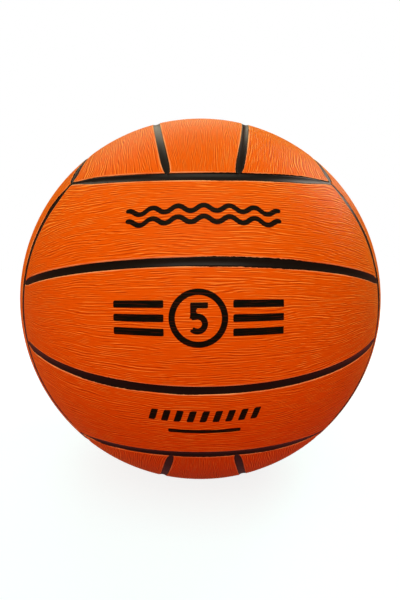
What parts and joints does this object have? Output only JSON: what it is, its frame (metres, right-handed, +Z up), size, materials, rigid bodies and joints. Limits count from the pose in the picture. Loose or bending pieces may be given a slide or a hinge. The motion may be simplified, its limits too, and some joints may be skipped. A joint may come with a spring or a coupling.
{
  "type": "water polo ball",
  "caption": "Inflated rubber ball with a panelled, streak-grained orange cover, black seam channels, a nylon-wound bladder and a plug valve.",
  "frame": {"origin": "centre of the ball", "axes": "+Z up, the printed front at -Y with its panels running along X, +Y along the valve's axis out of the back"},
  "size_m": [0.22, 0.2198, 0.22],
  "materials": {
    "cover_rubber": "satin, with a fine streaked grain",
    "channel_rubber": "semi-gloss",
    "carcass_rubber": "matt",
    "nylon_thread": "wound thread",
    "bladder_butyl": "matt, dusted with talc",
    "valve_rubber": "satin",
    "plug_rubber": "satin, moulded"
  },
  "bodies": {
    "ball": {"panel_front_upper": "cover_rubber", "panel_front_middle": "cover_rubber", "panel_front_lower": "cover_rubber", "panel_back_lower": "cover_rubber", "panel_back_middle": "cover_rubber", "panel_back_upper": "cover_rubber", "panel_top_left": "cover_rubber", "panel_top_middle": "cover_rubber", "panel_top_right": "cover_rubber", "panel_bottom_right": "cover_rubber", "panel_bottom_middle": "cover_rubber", "panel_bottom_left": "cover_rubber", "panel_left_rear": "cover_rubber", "panel_left_middle": "cover_rubber", "panel_left_fore": "cover_rubber", "panel_right_fore": "cover_rubber", "panel_right_middle": "cover_rubber", "panel_right_rear": "cover_rubber", "seam_channel": "channel_rubber", "carcass": "carcass_rubber", "nylon_winding": "nylon_thread", "bladder": "bladder_butyl", "valve_housing": "valve_rubber"},
    "plug": {"valve_plug": "plug_rubber"}
  },
  "joints": [
    {"name": "valve_plug_pull", "type": "slide", "parent": "ball", "child": "plug", "axis": [0, 1, 0], "range_m": [0, 0.02]}
  ]
}
